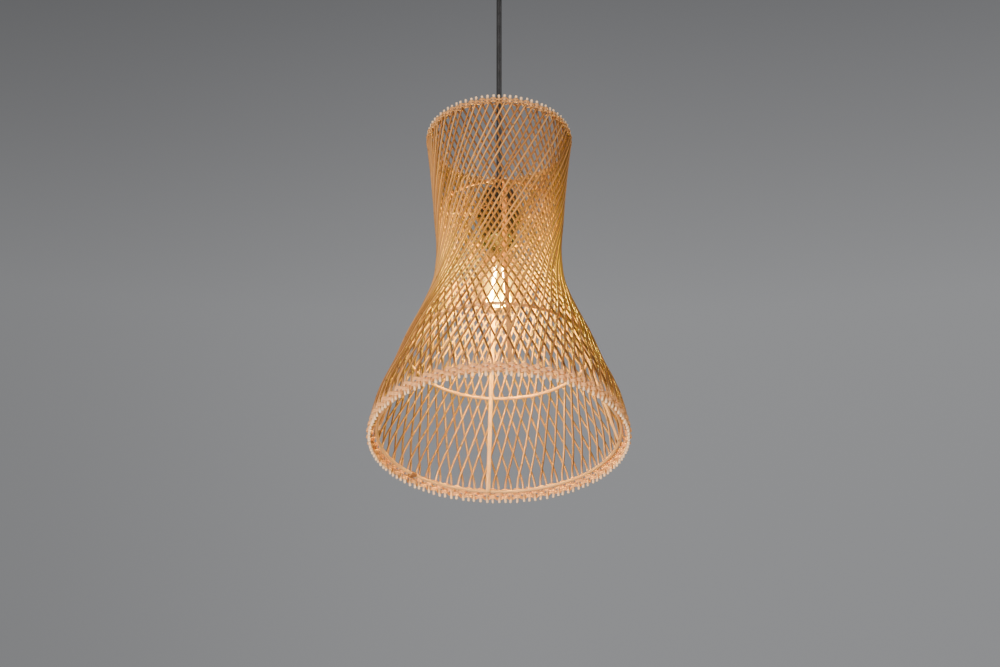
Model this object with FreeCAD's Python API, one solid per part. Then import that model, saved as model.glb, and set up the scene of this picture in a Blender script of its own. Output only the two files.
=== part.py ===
import FreeCAD, Part
import math
import os

Vector = FreeCAD.Vector

# A pendant ceiling light: a ceiling cup, a straight flex, an E27 lamp holder with its bulb,
# and an open woven shade on a frame of hoops and ribs. Millimetres, +Z up. The origin is on
# the ceiling plane, on the cord's axis, so everything hangs at negative z.
# Heights ("h") are counted upwards from the plane of the shade's bottom rim.

# Ceiling fitting
rim_drop = 696.0            # ceiling plane down to the plane of the bottom rim
cup_radius = 50.0
cup_height = 26.0
cup_wall = 1.5
cup_edge_radius = 6.0
bracket_length = 92.0
bracket_width = 20.0
bracket_thickness = 1.5
bracket_hole_spacing = 54.0
bracket_hole_radius = 2.5
tab_width = 14.0
tab_depth = 14.5            # how far the end tabs hang below the bracket plate
cup_screw_drop = 9.0
cup_screw_radius = 2.0
cup_screw_head_radius = 3.6
cup_screw_head_height = 2.0
terminal_near = 5.0         # x of the face where the leads enter
terminal_length = 20.0
terminal_half_width = 8.0
terminal_height = 11.0
terminal_screw_radius = 1.5
terminal_screw_x = 12.0
lead_radius = 1.0
lead_offset = 4.0
lead_level = -7.0

# Flex and its two grips
cord_radius = 3.25
swing_drop = 42.0           # ceiling plane down to the point where the cord swings
grip_head_radius = 8.5
grip_stem_radius = 5.0      # M10 thread
grip_mouth_drop = 48.0
locknut_corner_radius = 8.6
locknut_height = 4.0
bush_outer_radius = 6.0
bush_inner_radius = 3.55
bush_clearance = 0.3
cord_end_h = 341.0

# E27 lamp holder
nipple_radius = 6.5
nipple_foot_h = 338.0
nipple_top_h = 352.0
holder_radius = 20.0
flange_radius = 23.5
holder_mouth_h = 262.0
flange_h = 303.0
cap_foot_h = 308.0
core_h = 296.0
core_thickness = 8.0
core_screw_offset = 9.0
socket_radius = 13.6

# E27 bulb
bulb_radius = 30.0
bulb_centre_h = 196.0
bulb_shoulder = (231.0, 22.0)   # height, radius
bulb_neck_radius = 12.4
bulb_neck_h = 260.0
glass_thickness = 0.9
bulb_cap_foot_h = 264.0
bulb_cap_top_h = 285.5
bulb_cap_radius = 13.1
bulb_cap_wall = 0.5
stem_length = 22.0
stem_tip_radius = 1.6
filament_radius = 0.9
filament_top_h = 226.0
filament_length = 46.0
filament_top_offset = 6.0
filament_foot_offset = 13.0
support_radius = 0.35

# Shade: outer radius of the weave at heights above the bottom rim
weave_outline = [
    (4.0, 148.5), (40.0, 140.2), (80.0, 124.0), (120.0, 109.3), (160.0, 92.0),
    (200.0, 78.3), (240.0, 73.7), (300.0, 77.0), (360.0, 82.1), (405.0, 87.0),
]
weave_depth = 4.4           # two layers of 2.2 mm rods
layer_thickness = 1.1       # of the closed shell that stands for a layer of rods
band_thickness = 1.2
band_gap = 0.15
bottom_band = (-2.0, 10.5)  # lowest and highest edge
top_band = (402.5, 410.5)
outside = -band_thickness - band_gap
inside = weave_depth + band_gap
bottom_peg_count = 128      # two to each rod of a layer
top_peg_count = 80
peg_radius = 1.5
bottom_peg_tip_h = -7.0
top_peg_tip_h = 414.5
peg_gap = 0.2               # between a peg and the end of the weave

# Frame inside the weave
frame_turn = 5.4            # degrees by which the ribs are turned from the row axes
wire_radius = 1.9
bottom_hoop = (4.0, 138.2)  # height, radius
mid_hoop = (111.0, 105.8)
neck_hoop = (302.0, 70.5)
rib_width = 5.0
rib_thickness = 2.4
rib_bends = [(155.0, 86.4), (200.0, 72.6), (245.0, 67.9)]
rib_top = (305.0, 68.8)     # just above the neck hoop, so that a spoke ends against it
spoke_radius = 1.75
collar_radius = 26.0
collar_bore = 20.3
collar_thickness = 2.0
tie_angle = 136.0           # degrees from +X, where the bottom hoop's two ends meet
tie_span = 5.0              # degrees


def level(height):
    """z of a height above the bottom rim."""
    return height - rim_drop


def save(name, shape):
    """Write one sub-part and say how large it is."""
    shape.exportStep("parts/" + name + ".step")
    print(f"{name:20s} solids {len(shape.Solids):4d}  volume {shape.Volume:11.1f}  valid {shape.isValid()}")


def turned(shape, degrees):
    """A copy turned about the vertical axis."""
    copy = shape.copy()
    copy.rotate(Vector(0, 0, 0), Vector(0, 0, 1), degrees)
    return copy


def around(shape, count, start=0.0):
    """Equal copies spread round the vertical axis, as separate solids."""
    return Part.makeCompound([turned(shape, start + 360.0 * k / count) for k in range(count)])


def spin(edges):
    """Solid of revolution from closed edges in the XZ plane."""
    face = Part.Face(Part.Wire(edges))
    return face.revolve(Vector(0, 0, 0), Vector(0, 0, 1), 360)


def outline(*steps):
    """Closed edges through (r, z) steps; a step (middle, end) of two points is an arc."""
    edges = []
    here = Vector(steps[0][0], 0, steps[0][1])
    for step in steps[1:] + (steps[0],):
        if isinstance(step[0], tuple):
            middle, end = [Vector(r, 0, z) for r, z in step]
            edges.append(Part.Arc(here, middle, end).toShape())
        else:
            end = Vector(step[0], 0, step[1])
            edges.append(Part.LineSegment(here, end).toShape())
        here = end
    return edges


def ring(inner, outer, low, high):
    """Flat ring or tube about the vertical axis."""
    return spin(outline((inner, low), (outer, low), (outer, high), (inner, high)))


def rod(radius, start, end):
    """Round rod between two points."""
    along = end - start
    return Part.makeCylinder(radius, along.Length, start, along)


def tube(radius, corners):
    """Round wire along straight runs joined by tangent arcs."""
    points = [Vector(*corner) for corner in corners]
    edges = []
    here = points[0]
    for before, corner, after in zip(points, points[1:], points[2:]):
        back = (before - corner).normalize()
        ahead = (after - corner).normalize()
        reach = 0.45 * min((before - corner).Length, (after - corner).Length)
        half = (math.pi - back.getAngle(ahead)) / 2
        bend = reach / math.tan(half)
        centre = corner + (back + ahead).normalize() * (bend / math.cos(half))
        middle = centre + (corner - centre).normalize() * bend
        enter, leave = corner + back * reach, corner + ahead * reach
        edges.append(Part.LineSegment(here, enter).toShape())
        edges.append(Part.Arc(enter, middle, leave).toShape())
        here = leave
    edges.append(Part.LineSegment(here, points[-1]).toShape())
    path = Part.Wire(edges)
    circle = Part.Circle(points[0], points[1] - points[0], radius).toShape()
    return path.makePipeShell([Part.Wire(circle)], True, True)


# ---- ceiling fitting ----

def ceiling_bracket():
    half = bracket_length / 2
    thick = bracket_thickness
    plate = Part.makeBox(bracket_length, bracket_width, thick, Vector(-half, -bracket_width / 2, -thick))
    for side in (-1, 1):
        middle = Vector(side * bracket_hole_spacing / 2, 0, -thick)
        plate = plate.cut(Part.makeCylinder(bracket_hole_radius, thick, middle))
    corner = Vector(half - thick, -tab_width / 2, -thick - tab_depth)
    tab = Part.makeBox(thick, tab_width, tab_depth, corner)
    start = Vector(half - thick, 0, -cup_screw_drop)
    tab = tab.cut(Part.makeCylinder(cup_screw_radius, thick, start, Vector(1, 0, 0)))
    return plate.fuse([tab, turned(tab, 180)]).removeSplitter()


def ceiling_cup():
    edge = cup_edge_radius
    inner_edge = edge - cup_wall
    hole = grip_stem_radius + 0.2
    outer, inner = cup_radius, cup_radius - cup_wall
    corner = math.sqrt(0.5)
    outer_mid = (outer - edge + edge * corner, -cup_height + edge - edge * corner)
    inner_mid = (outer - edge + inner_edge * corner, -cup_height + edge - inner_edge * corner)
    shell = spin(outline(
        (inner, -0.3), (outer, -0.3), (outer, -cup_height + edge),
        (outer_mid, (outer - edge, -cup_height)), (hole, -cup_height),
        (hole, -cup_height + cup_wall), (outer - edge, -cup_height + cup_wall),
        (inner_mid, (inner, -cup_height + edge))))
    for side in (-1, 1):
        start = Vector(side * (inner - 2), 0, -cup_screw_drop)
        shell = shell.cut(Part.makeCylinder(cup_screw_radius + 0.2, 6, start, Vector(side, 0, 0)))
    return shell


def cup_screws():
    start = Vector(bracket_length / 2 - bracket_thickness, 0, -cup_screw_drop)
    seat = Vector(cup_radius, 0, -cup_screw_drop)
    end = seat + Vector(cup_screw_head_height, 0, 0)
    slot = Part.makeBox(0.8, 8, 1.0, end - Vector(0.8, 4, 0.5))
    screw = rod(cup_screw_radius, start, seat).fuse(rod(cup_screw_head_radius, seat, end))
    return around(screw.cut(slot).removeSplitter(), 2)


def terminal_block():
    foot = -bracket_thickness - terminal_height
    corner = Vector(terminal_near, -terminal_half_width, foot)
    block = Part.makeBox(terminal_length, 2 * terminal_half_width, terminal_height, corner)
    upright = [edge for edge in block.Edges if abs(edge.tangentAt(edge.FirstParameter).z) > 0.9]
    block = block.makeFillet(1.5, upright)
    for y in (-lead_offset, lead_offset):
        entry = Vector(terminal_near, y, lead_level)
        wire_way = Part.makeCylinder(lead_radius + 0.4, terminal_length, entry, Vector(1, 0, 0))
        screw_way = Part.makeCylinder(terminal_screw_radius, 5, Vector(terminal_screw_x, y, foot))
        block = block.cut(wire_way).cut(screw_way)
    return block


def terminal_screws():
    screws = []
    for y in (-lead_offset, lead_offset):
        foot = Vector(terminal_screw_x, y, -bracket_thickness - terminal_height + 0.8)
        body = Part.makeCylinder(terminal_screw_radius, lead_level - lead_radius - foot.z, foot)
        slot = Part.makeBox(4, 0.5, 0.6, foot - Vector(2, 0.25, 0))
        screws.append(body.cut(slot))
    return Part.makeCompound(screws)


def ceiling_lead(side):
    """Conductor from the end of the flex to the terminal block."""
    near = side * 1.3
    far = side * lead_offset
    return tube(lead_radius, [
        (0, near, -17), (0, near, -13.5), (0, side * 3.0, -9.5), (2.8, far, lead_level),
        (terminal_screw_x + 2, far, lead_level)])


def cord_tail():
    return Part.makeCylinder(cord_radius, 18, Vector(0, 0, -35))


def cord_grip():
    edge = 1.5
    swing = -swing_drop
    socket = bush_outer_radius + bush_clearance
    mouth = 7.2
    shoulder = math.sqrt(socket ** 2 - cord_radius ** 2)
    diagonal = socket * math.sqrt(0.5)
    return spin(outline(
        (cord_radius, -17), (grip_stem_radius, -17), (grip_stem_radius, -cup_height),
        (grip_head_radius - edge, -cup_height),
        ((grip_head_radius - 0.44, -cup_height - 0.44), (grip_head_radius, -cup_height - edge)),
        (grip_head_radius, -grip_mouth_drop + 0.5), (grip_head_radius - 0.5, -grip_mouth_drop),
        (mouth, -grip_mouth_drop), (socket, swing),
        ((diagonal, swing + diagonal), (cord_radius, swing + shoulder)))).cut(grip_screw())


def grip_screw():
    return rod(2.0, Vector(0, cord_radius, -31), Vector(0, grip_head_radius - 0.3, -31))


def grip_locknut():
    low = Vector(0, 0, -cup_height + cup_wall)
    angles = [math.radians(60 * k) for k in range(7)]
    corners = [low + Vector(math.cos(a), math.sin(a), 0) * locknut_corner_radius for a in angles]
    nut = Part.Face(Part.makePolygon(corners)).extrude(Vector(0, 0, locknut_height))
    return nut.cut(Part.makeCylinder(grip_stem_radius, locknut_height, low))


def grip_bush():
    """Rubber bush: half a hollow ball round the point where the cord swings."""
    swing = Vector(0, 0, -swing_drop)
    dome = Part.makeSphere(bush_outer_radius, swing, Vector(0, 0, 1), 0, 90)
    dome = dome.cut(Part.makeSphere(bush_inner_radius, swing))
    return dome.cut(Part.makeCylinder(1.5, 8, swing))


def flex_cord():
    """The hanging flex: one straight run from the ceiling grip to the holder's nipple."""
    swing = Vector(0, 0, -swing_drop)
    length = -swing_drop - level(cord_end_h)
    run = Part.makeCylinder(cord_radius, length, Vector(0, 0, level(cord_end_h)))
    cord = run.fuse(Part.makeSphere(cord_radius, swing)).removeSplitter()
    plain = math.pi * cord_radius ** 2 * length + 2 / 3 * math.pi * cord_radius ** 3
    print(f"flex: one straight run of {length:.1f} mm, no bends")
    print(f"flex: volume {cord.Volume:.1f}, expected {plain:.1f}")
    return cord


# ---- lamp holder ----

def holder_nipple():
    foot, top = level(nipple_foot_h), level(nipple_top_h)
    seat = level(cord_end_h)
    stem_foot = foot - 10
    return spin(outline(
        (2.4, stem_foot), (grip_stem_radius - 0.05, stem_foot), (grip_stem_radius - 0.05, foot),
        (nipple_radius, foot), (nipple_radius, top - 2.5), (nipple_radius - 2.0, top),
        (cord_radius, top), (cord_radius, seat), (2.4, seat))).cut(nipple_screw())


def nipple_screw():
    height = level(345.0)
    return rod(1.5, Vector(0, cord_radius, height), Vector(0, nipple_radius - 0.2, height))


def holder_cap():
    foot = level(cap_foot_h)
    top = level(nipple_foot_h) - 0.3
    outer, inner = holder_radius + 0.5, holder_radius - 1.4
    dome_foot = level(323.0)
    return spin(outline(
        (grip_stem_radius, top), (8.5, top), ((16.4, top - 4.1), (outer, dome_foot)),
        (outer, foot), (inner, foot), (inner, dome_foot),
        ((14.9, top - 5.8), (8.3, top - 2.2)), (grip_stem_radius, top - 2.2)))


def holder_body():
    mouth, shoulder, top = level(holder_mouth_h), level(flange_h), level(cap_foot_h)
    return spin(outline(
        (holder_radius - 2, mouth), (holder_radius, mouth), (holder_radius, shoulder),
        (flange_radius, shoulder), (flange_radius, top), (holder_radius - 2, top)))


def holder_core():
    low = level(core_h)
    core = Part.makeCylinder(holder_radius - 2.05, core_thickness, Vector(0, 0, low))
    for side in (-1, 1):
        core = core.cut(Part.makeCylinder(1.5, core_thickness, Vector(0, side * core_screw_offset, low)))
    return core


def core_screws():
    top = level(core_h) + core_thickness
    screws = []
    for side in (-1, 1):
        foot = Vector(0, side * core_screw_offset, level(core_h))
        head = Part.makeCylinder(2.7, 1.6, Vector(0, foot.y, top))
        slot = Part.makeBox(6, 0.6, 0.7, Vector(-3, foot.y - 0.3, top + 0.9))
        screws.append(Part.makeCylinder(1.5, core_thickness, foot).fuse(head).cut(slot).removeSplitter())
    return Part.makeCompound(screws)


def holder_lead(side):
    """Conductor inside the holder cap, from the flex to its terminal screw."""
    return tube(lead_radius, [
        (0, side * 1.2, level(327.6)), (0, side * 1.2, level(322.0)),
        (0, side * 6.0, level(316.0)), (0, side * core_screw_offset, level(310.0)),
        (0, side * core_screw_offset, level(core_h) + core_thickness + 1.7)])


def socket_shell():
    low, top = level(266.0), level(core_h)
    wall = 0.5
    return spin(outline(
        (socket_radius, low + 1.5), (socket_radius + 0.9, low), (socket_radius + 0.9 + wall, low),
        (socket_radius + wall, low + 1.5), (socket_radius + wall, top), (socket_radius, top)))


def contact_strip(points, width):
    """Flat strip cut from an outline in the XZ plane and given a width along Y."""
    corners = [Vector(x, -width / 2, level(h)) for x, h in points + points[:1]]
    return Part.Face(Part.makePolygon(corners)).extrude(Vector(0, width, 0))


def centre_contact():
    return contact_strip([
        (11.5, 296.0), (6.0, 296.0), (1.6, 291.2), (-3.5, 291.2),
        (-3.5, 290.7), (1.8, 290.7), (6.2, 295.5), (11.5, 295.5)], 4.0)


def side_contact():
    return contact_strip([
        (-16.8, 296.0), (-15.0, 296.0), (-15.0, 282.0), (-14.2, 281.0),
        (-14.2, 280.0), (-15.6, 281.6), (-15.6, 295.4), (-16.8, 295.4)], 5.0)


def ring_washer():
    return ring(collar_bore, 24.5, level(299.7), level(300.9))


def retaining_ring():
    low, high = level(293.6), level(299.6)
    plain = spin(outline(
        (holder_radius + 0.06, low), (24.4, low), (25.4, low + 1.0), (25.4, high - 1.0),
        (24.4, high), (holder_radius + 0.06, high)))
    groove = Part.makeCylinder(1.1, high - low, Vector(26.0, 0, low))
    return plain.cut(around(groove, 24))


# ---- bulb ----

def glass_line(inset):
    """Half outline of the glass from its neck to its lowest point, moved in by an inset."""
    neck = bulb_neck_radius - inset
    widest = bulb_radius - inset
    centre = level(bulb_centre_h)
    low = level(bulb_neck_h)
    shoulder_h, shoulder_radius = bulb_shoulder
    flank = Part.BSplineCurve()
    flank.interpolate(
        Points=[Vector(neck, 0, low), Vector(shoulder_radius - inset, 0, level(shoulder_h)),
                Vector(widest, 0, centre)],
        InitialTangent=Vector(0, 0, -24), FinalTangent=Vector(0, 0, -24))
    diagonal = widest * math.sqrt(0.5)
    pole = Vector(0, 0, centre - widest)
    ball = Part.Arc(Vector(widest, 0, centre), Vector(diagonal, 0, centre - diagonal), pole)
    top = Vector(neck, 0, level(bulb_cap_foot_h) + 6)
    straight = Part.LineSegment(top, Vector(neck, 0, low))
    return [straight.toShape(), flank.toShape(), ball.toShape()], top, pole


def bulb_glass():
    outer, outer_top, outer_low = glass_line(0.0)
    inner, inner_top, inner_low = glass_line(glass_thickness)
    closing = [Part.LineSegment(outer_top, inner_top), Part.LineSegment(outer_low, inner_low)]
    return spin(Part.__sortEdges__(outer + inner + [line.toShape() for line in closing]))


def bulb_cap():
    foot, top = level(bulb_cap_foot_h), level(bulb_cap_top_h)
    wall = bulb_cap_wall
    return spin(outline(
        (bulb_cap_radius - wall, foot), (bulb_cap_radius, foot), (bulb_cap_radius, top - 2),
        (bulb_cap_radius - 1.5, top), (bulb_cap_radius - 2.2, top), (bulb_cap_radius - wall, top - 2.2)))


def bulb_insulator():
    top = level(bulb_cap_top_h)
    return spin(outline((0, top - 2), (10.8, top - 2), (10.8, top), (5.5, top + 3), (0, top + 3)))


def bulb_contact():
    foot = level(bulb_cap_top_h) + 3.05
    return spin(outline(
        (0, foot), (4.6, foot), (4.6, foot + 0.9), (2.6, foot + 1.6), (0.9, foot + 1.8),
        (0, foot + 1.8)))


def bulb_stem():
    neck = level(bulb_neck_h)
    tip = neck - stem_length
    return spin(outline(
        (0, tip), (stem_tip_radius, tip), (2.2, neck - 10), (7.5, neck + 6), (0, neck + 6)))


def filament_ends():
    """Top and foot of each of the four upright filaments, as a tapering square cage."""
    for k in range(4):
        angle = math.radians(45 + 90 * k)
        away = Vector(math.cos(angle), math.sin(angle), 0)
        top = away * filament_top_offset + Vector(0, 0, level(filament_top_h))
        foot = away * filament_foot_offset + Vector(0, 0, level(filament_top_h - filament_length))
        yield top, foot


def bulb_filaments():
    return Part.makeCompound([rod(filament_radius, foot, top) for top, foot in filament_ends()])


def filament_wires():
    """Thin supports from the glass stem to the filaments, and the joins between their feet."""
    ends = list(filament_ends())
    start = Vector(0, 0, level(bulb_neck_h) - stem_length + 0.6)
    wires = []
    for top, foot in ends:
        away = Vector(top.x, top.y, 0).normalize()
        wires.append(rod(support_radius, start + away * 1.3, top))
    for first, second in ((0, 1), (2, 3)):
        wires.append(rod(support_radius, ends[first][1], ends[second][1]))
    ends_in = bulb_stem().fuse(bulb_filaments().Solids)
    trimmed = [wire.cut(ends_in).Solids for wire in wires]
    return Part.makeCompound([max(pieces, key=lambda piece: piece.Volume) for pieces in trimmed])


# ---- shade ----

def profile(inset):
    """Curve of the weave's outline, moved towards the axis by an inset."""
    curve = Part.BSplineCurve()
    curve.interpolate([Vector(radius - inset, 0, level(h)) for h, radius in weave_outline])
    return curve


def weave_radius(height):
    """Outer radius of the weave at a height, straight on past its two ends."""
    curve = profile(0.0)
    low_h, high_h = weave_outline[0][0], weave_outline[-1][0]
    inside = min(max(height, low_h), high_h)
    low, high = curve.FirstParameter, curve.LastParameter
    for _ in range(40):
        middle = (low + high) / 2
        if curve.value(middle).z < level(inside):
            low = middle
        else:
            high = middle
    slope = curve.tangent(low)[0]
    return curve.value(low).x + (height - inside) * slope.x / slope.z


def weave_layer(inset):
    """Closed shell for one layer of rods."""
    outer, inner = profile(inset), profile(inset + layer_thickness)
    edges = [outer.toShape(), inner.toShape()]
    for place in (outer.FirstParameter, outer.LastParameter):
        edges.append(Part.LineSegment(outer.value(place), inner.value(place)).toShape())
    return spin(Part.__sortEdges__(edges))


def band(edges, inset):
    """Flat hoop along the weave's slope; a negative inset lies outside it."""
    low, high = edges
    foot, head = weave_radius(low) - inset, weave_radius(high) - inset
    return spin(outline(
        (foot - band_thickness, level(low)), (foot, level(low)), (head, level(high)),
        (head - band_thickness, level(high))))


def pegs(start, tip, count):
    """Short stakes all round a rim, from a start height to their tips, as separate solids."""
    foot, end = [Vector(weave_radius(h) - weave_depth / 2, 0, level(h)) for h in (start, tip)]
    peg = rod(peg_radius, foot, end)
    rims = [edge for edge in peg.Edges if isinstance(edge.Curve, Part.Circle)]
    return around(peg.makeChamfer(0.35, rims), count)


def bottom_pegs():
    return pegs(weave_outline[0][0] - peg_gap, bottom_peg_tip_h, bottom_peg_count)


def top_pegs():
    return pegs(weave_outline[-1][0] + peg_gap, top_peg_tip_h, top_peg_count)


def hoop(place):
    height, radius = place
    return Part.makeTorus(radius, wire_radius, Vector(0, 0, level(height)))


def rib():
    """Flat rib bent to the inside of the weave, touching the inside of the three hoops."""
    marks = [(h, radius - wire_radius) for h, radius in (bottom_hoop, mid_hoop)]
    marks += rib_bends + [(neck_hoop[0], neck_hoop[1] - wire_radius), rib_top]
    edges = []
    for inset in (0.0, rib_thickness):
        lower = Part.LineSegment(*[Vector(r - inset, 0, level(h)) for h, r in marks[:2]])
        upper = Part.BSplineCurve()
        start = Vector(marks[1][1] - marks[0][1], 0, marks[1][0] - marks[0][0])
        upper.interpolate(
            Points=[Vector(r - inset, 0, level(h)) for h, r in marks[1:]],
            InitialTangent=start.normalize() * 40, FinalTangent=Vector(2, 0, 40))
        edges += [lower.toShape(), upper.toShape()]
    for h, r in (marks[0], marks[-1]):
        outer_end = Vector(r, 0, level(h))
        inner_end = outer_end - Vector(rib_thickness, 0, 0)
        edges.append(Part.LineSegment(outer_end, inner_end).toShape())
    face = Part.Face(Part.Wire(Part.__sortEdges__(edges)))
    face.translate(Vector(0, -rib_width / 2, 0))
    return face.extrude(Vector(0, rib_width, 0))


def shade_collar():
    return ring(collar_bore, collar_radius, level(flange_h) - collar_thickness, level(flange_h))


def collar_spokes():
    """Spokes from the collar out to the inside of each rib, at the neck hoop's height."""
    height = level(neck_hoop[0])
    spoke = rod(spoke_radius, Vector(collar_radius - 1, 0, height), Vector(rib_top[1], 0, height))
    spoke = spoke.cut(shade_collar()).cut(rib())
    return around(max(spoke.Solids, key=lambda part: part.Volume), 4, frame_turn)


def hoop_tie():
    """Binding over the joint of the bottom hoop, with a strap across to the rim band."""
    height, radius = bottom_hoop
    middle = Vector(radius, 0, level(height))
    circle = Part.Circle(middle, Vector(0, 1, 0), wire_radius + 0.9)
    sleeve = Part.Face(Part.Wire(circle.toShape())).revolve(Vector(0, 0, 0), Vector(0, 0, 1), tie_span)
    reach = weave_radius(height) - inside - band_thickness - 0.3 - radius
    strap = Part.makeBox(reach, 5.0, 3.4, middle - Vector(0, 2.5, 1.7))
    return turned(turned(sleeve, -tie_span / 2).fuse(strap).cut(hoop(bottom_hoop)), tie_angle)


rib_names = {"rib_right": 0, "rib_back": 90, "rib_left": 180, "rib_front": 270}

makers = {
    "ceiling_bracket": ceiling_bracket, "ceiling_cup": ceiling_cup, "cup_screws": cup_screws,
    "terminal_block": terminal_block, "terminal_screws": terminal_screws,
    "live_lead": lambda: ceiling_lead(1), "neutral_lead": lambda: ceiling_lead(-1),
    "cord_tail": cord_tail, "cord_grip": cord_grip, "grip_screw": grip_screw,
    "grip_locknut": grip_locknut, "grip_bush": grip_bush, "flex_cord": flex_cord,
    "holder_nipple": holder_nipple, "nipple_screw": nipple_screw, "holder_cap": holder_cap,
    "holder_body": holder_body, "holder_core": holder_core, "core_screws": core_screws,
    "holder_live_lead": lambda: holder_lead(1), "holder_neutral_lead": lambda: holder_lead(-1),
    "socket_shell": socket_shell, "centre_contact": centre_contact, "side_contact": side_contact,
    "ring_washer": ring_washer, "retaining_ring": retaining_ring,
    "bulb_glass": bulb_glass, "bulb_cap": bulb_cap, "bulb_insulator": bulb_insulator,
    "bulb_contact": bulb_contact, "bulb_stem": bulb_stem, "bulb_filaments": bulb_filaments,
    "filament_wires": filament_wires,
    "outer_weave": lambda: weave_layer(0.0),
    "inner_weave": lambda: weave_layer(weave_depth - layer_thickness),
    "bottom_outer_band": lambda: band(bottom_band, outside),
    "bottom_inner_band": lambda: band(bottom_band, inside),
    "top_outer_band": lambda: band(top_band, outside),
    "top_inner_band": lambda: band(top_band, inside),
    "bottom_pegs": bottom_pegs, "top_pegs": top_pegs,
    "bottom_hoop": lambda: hoop(bottom_hoop), "mid_hoop": lambda: hoop(mid_hoop),
    "neck_hoop": lambda: hoop(neck_hoop), "hoop_tie": hoop_tie,
    "shade_collar": shade_collar, "collar_spokes": collar_spokes,
}

os.makedirs("parts", exist_ok=True)
for name, maker in makers.items():
    save(name, maker())
for name, degrees in rib_names.items():
    save(name, turned(rib(), frame_turn + degrees))
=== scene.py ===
import math

import bpy
import numpy as np
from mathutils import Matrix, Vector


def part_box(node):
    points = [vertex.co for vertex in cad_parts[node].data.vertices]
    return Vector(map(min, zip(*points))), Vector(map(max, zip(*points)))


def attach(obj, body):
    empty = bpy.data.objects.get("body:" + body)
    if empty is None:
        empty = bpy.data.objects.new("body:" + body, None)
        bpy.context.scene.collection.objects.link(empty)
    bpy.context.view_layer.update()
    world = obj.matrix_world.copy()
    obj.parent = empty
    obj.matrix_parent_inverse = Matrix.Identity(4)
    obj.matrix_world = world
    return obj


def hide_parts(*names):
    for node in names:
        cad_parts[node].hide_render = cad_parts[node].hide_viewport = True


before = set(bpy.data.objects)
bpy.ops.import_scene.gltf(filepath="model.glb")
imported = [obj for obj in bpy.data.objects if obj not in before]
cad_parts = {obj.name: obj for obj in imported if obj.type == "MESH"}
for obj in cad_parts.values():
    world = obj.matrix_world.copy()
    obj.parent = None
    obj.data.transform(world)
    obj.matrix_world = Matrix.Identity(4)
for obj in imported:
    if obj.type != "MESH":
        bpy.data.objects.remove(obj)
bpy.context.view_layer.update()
mm = 0.001
chance = np.random.default_rng(41)
print("frame loaded:", len(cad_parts), "nodes")


# Shader maths: a Wire is one output socket, and sums on it add Math nodes.
class Wire:
    def __init__(self, tree, socket=None):
        self.tree = tree
        self.socket = socket

    def add(self, kind, settings=None, sockets=None, outlet=0):
        node = self.tree.nodes.new("ShaderNode" + kind)
        for name, value in (settings or {}).items():
            if name == "stops":
                fillRamp(node.color_ramp, value)
            else:
                setattr(node, name, value)
        for name, value in (sockets or {}).items():
            if isinstance(value, Wire):
                self.tree.links.new(value.socket, node.inputs[name])
            else:
                node.inputs[name].default_value = value
        return Wire(self.tree, node.outputs[outlet] if node.outputs else None)

    def sum(self, operation, first, second):
        return self.add("Math", {"operation": operation}, {0: first, 1: second})

    def __add__(self, other):
        return self.sum("ADD", self, other)

    def __sub__(self, other):
        return self.sum("SUBTRACT", self, other)

    def __rsub__(self, other):
        return self.sum("SUBTRACT", other, self)

    def __mul__(self, other):
        return self.sum("MULTIPLY", self, other)

    def __pow__(self, other):
        return self.sum("POWER", self, other)

    __radd__ = __add__
    __rmul__ = __mul__

    def within(self, low, high):  # 0 below low, 1 above high
        limits = {"Value": self, "From Min": low, "From Max": high}
        return self.add("MapRange", {"interpolation_type": "SMOOTHSTEP"}, limits)

    def mix(self, first, second):  # a colour from first to second, by this value
        return self.add("Mix", {"data_type": "RGBA"}, {0: self, 6: first, 7: second}, 2)

    def stretch(self, x, y, z):  # a vector times three numbers
        return self.add("VectorMath", {"operation": "MULTIPLY"}, {0: self, 1: (x, y, z)})

    def noise(self, scale, detail=3.0, roughness=0.55):
        values = {"Vector": self, "Scale": scale, "Detail": detail, "Roughness": roughness}
        return self.add("TexNoise", {}, values)

    def bump(self, distance, strength=1.0):
        return self.add("Bump", {}, {"Height": self, "Distance": distance, "Strength": strength})


def fillRamp(ramp, stops):
    while len(ramp.elements) < len(stops):
        ramp.elements.new(0.5)
    for element, (place, colour) in zip(ramp.elements, stops):
        element.position = place
        element.color = (*colour, 1.0)


def newFinish(name):
    material = bpy.data.materials.new(name)
    material.use_nodes = True
    material.node_tree.nodes.clear()
    return material, Wire(material.node_tree)


def closeFinish(start, sockets):
    shader = start.add("BsdfPrincipled", {}, sockets)
    start.add("OutputMaterial", {}, {"Surface": shader})


def opaque(colour):
    return (*colour, 1.0)


# The lit bulb: painted glow of light through thin cane, a painted warm bloom on the glass, the glass, the
# filaments
bulbMiddle = np.array((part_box("bulb_filaments")[0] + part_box("bulb_filaments")[1]) / 2)
bulbLook = {
    "caneGlow": 1.5, "caneGlowReach": 76 * mm, "caneGlowFade": 2.5,
    "caneGlowMiddle": 0.3, "caneGlowInward": 1.2, "caneGlowLeast": 0.06,
    "haze": (1.0, 0.56, 0.0), "hazeGlow": 7.0, "hazeShare": 0.85, "hazeReach": 36 * mm, "hazeFade": 12.0,
    "glassTint": (1.0, 0.97, 0.92), "rimGloss": 0.55, "faceGloss": 0.04, "glossRoughness": 0.04,
    "filament": (1.0, 0.66, 0.28), "filamentGlow": 260.0,
}
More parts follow.
